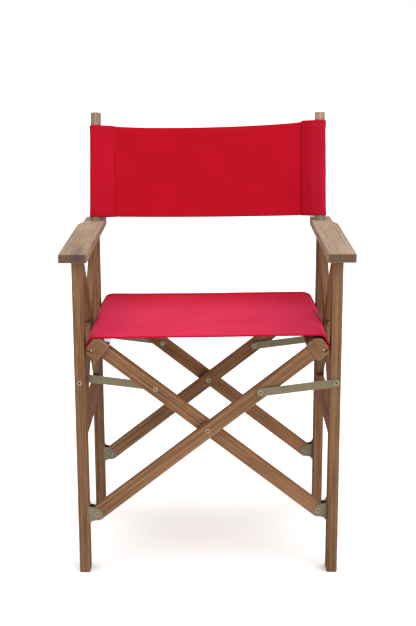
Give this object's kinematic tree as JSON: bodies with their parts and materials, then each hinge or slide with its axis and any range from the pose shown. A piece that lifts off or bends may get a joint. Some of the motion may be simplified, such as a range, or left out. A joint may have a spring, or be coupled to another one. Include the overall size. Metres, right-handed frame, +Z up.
{
  "type": "folding chair",
  "caption": "Wooden director's chair with crossed bars that fold sideways, cloth seat and back slings, and armrests.",
  "frame": {"origin": "on the floor, in the middle of the chair's outer box", "axes": "-Y to the front, +X to the right seen from the front, +Z up"},
  "size_m": [0.566, 0.4722, 0.8915],
  "materials": {
    "frame_wood": "oiled reddish-brown hardwood",
    "arm_wood": "oiled hardwood, lighter on top",
    "zinc_steel": "yellow zinc-plated steel",
    "seat_cloth": "red woven sling cloth",
    "back_cloth": "red woven sling cloth",
    "label_cloth": "blank woven label",
    "rod_plastic": "extruded rod, pale"
  },
  "bodies": {
    "left_frame": {"left_front_leg": "frame_wood", "left_rear_leg": "frame_wood", "left_armrest": "arm_wood", "left_side_rail": "frame_wood", "left_brace_rising": "frame_wood", "left_brace_falling": "frame_wood", "left_back_post": "frame_wood", "left_back_sleeve": "back_cloth", "left_front_bracket": "zinc_steel", "left_rear_bracket": "zinc_steel", "left_bracket_screws": "zinc_steel", "left_bracket_rivets": "zinc_steel", "left_link_leg_rivets": "zinc_steel", "left_brace_screw": "zinc_steel", "back_panel": "back_cloth"},
    "right_frame": {"right_front_leg": "frame_wood", "right_rear_leg": "frame_wood", "right_armrest": "arm_wood", "right_side_rail": "frame_wood", "right_brace_rising": "frame_wood", "right_brace_falling": "frame_wood", "right_back_post": "frame_wood", "right_back_sleeve": "back_cloth", "right_front_bracket": "zinc_steel", "right_rear_bracket": "zinc_steel", "right_bracket_screws": "zinc_steel", "right_bracket_rivets": "zinc_steel", "right_link_leg_rivets": "zinc_steel", "right_brace_screw": "zinc_steel"},
    "right_cross": {"right_rail_front_bar": "frame_wood", "right_rail_rear_bar": "frame_wood", "right_seat_rail": "frame_wood", "right_seat_rod": "rod_plastic", "right_link_bar_rivets": "zinc_steel", "right_link_washers": "zinc_steel", "cross_rivets": "zinc_steel", "cross_washers": "zinc_steel"},
    "left_cross": {"left_rail_front_bar": "frame_wood", "left_rail_rear_bar": "frame_wood", "left_seat_rail": "frame_wood", "left_seat_rod": "rod_plastic", "left_link_bar_rivets": "zinc_steel", "left_link_washers": "zinc_steel", "seat_sling": "seat_cloth", "care_label": "label_cloth"},
    "left_front_link": {"left_front_link": "zinc_steel", "left_front_link_rivet_end": "zinc_steel"},
    "left_rear_link": {"left_rear_link": "zinc_steel", "left_rear_link_rivet_end": "zinc_steel"},
    "right_front_link": {"right_front_link": "zinc_steel", "right_front_link_rivet_end": "zinc_steel"},
    "right_rear_link": {"right_rear_link": "zinc_steel", "right_rear_link_rivet_end": "zinc_steel"}
  },
  "joints": [
    {"name": "fold", "type": "hinge", "parent": "left_frame", "child": "right_cross", "pos_m": [-0.222, -0.2078, 0.1255], "axis": [0, -1, 0], "range_deg": [0, 37.5], "deforming": ["seat_sling", "back_panel"]},
    {"name": "cross_pivot", "type": "hinge", "parent": "right_cross", "child": "left_cross", "pos_m": [0, -0.1988, 0.2996], "axis": [0, -1, 0], "range_deg": [-80.01, 0.01]},
    {"name": "right_frame_pivot", "type": "hinge", "parent": "left_cross", "child": "right_frame", "pos_m": [0.222, -0.1898, 0.1255], "axis": [0, -1, 0], "range_deg": [-0.01, 37.51]},
    {"name": "left_front_link_pivot", "type": "hinge", "parent": "left_frame", "child": "left_front_link", "pos_m": [-0.2504, -0.1988, 0.3996], "axis": [0, -1, 0], "range_deg": [-0.01, 66.42]},
    {"name": "left_rear_link_pivot", "type": "hinge", "parent": "left_frame", "child": "left_rear_link", "pos_m": [-0.2504, 0.1532, 0.3996], "axis": [0, -1, 0], "range_deg": [-0.01, 66.42]},
    {"name": "right_front_link_pivot", "type": "hinge", "parent": "right_frame", "child": "right_front_link", "pos_m": [0.2504, -0.1988, 0.3996], "axis": [0, -1, 0], "range_deg": [-66.42, 0.01]},
    {"name": "right_rear_link_pivot", "type": "hinge", "parent": "right_frame", "child": "right_rear_link", "pos_m": [0.2504, 0.1532, 0.3996], "axis": [0, -1, 0], "range_deg": [-66.42, 0.01]}
  ],
  "couplings": [
    {"joint": "cross_pivot", "follows": "fold", "ratio": -2.1333},
    {"joint": "right_frame_pivot", "follows": "fold", "ratio": 1},
    {"joint": "left_front_link_pivot", "follows": "fold", "ratio": 1.771},
    {"joint": "left_rear_link_pivot", "follows": "fold", "ratio": 1.771},
    {"joint": "right_front_link_pivot", "follows": "fold", "ratio": -1.771},
    {"joint": "right_rear_link_pivot", "follows": "fold", "ratio": -1.771}
  ]
}
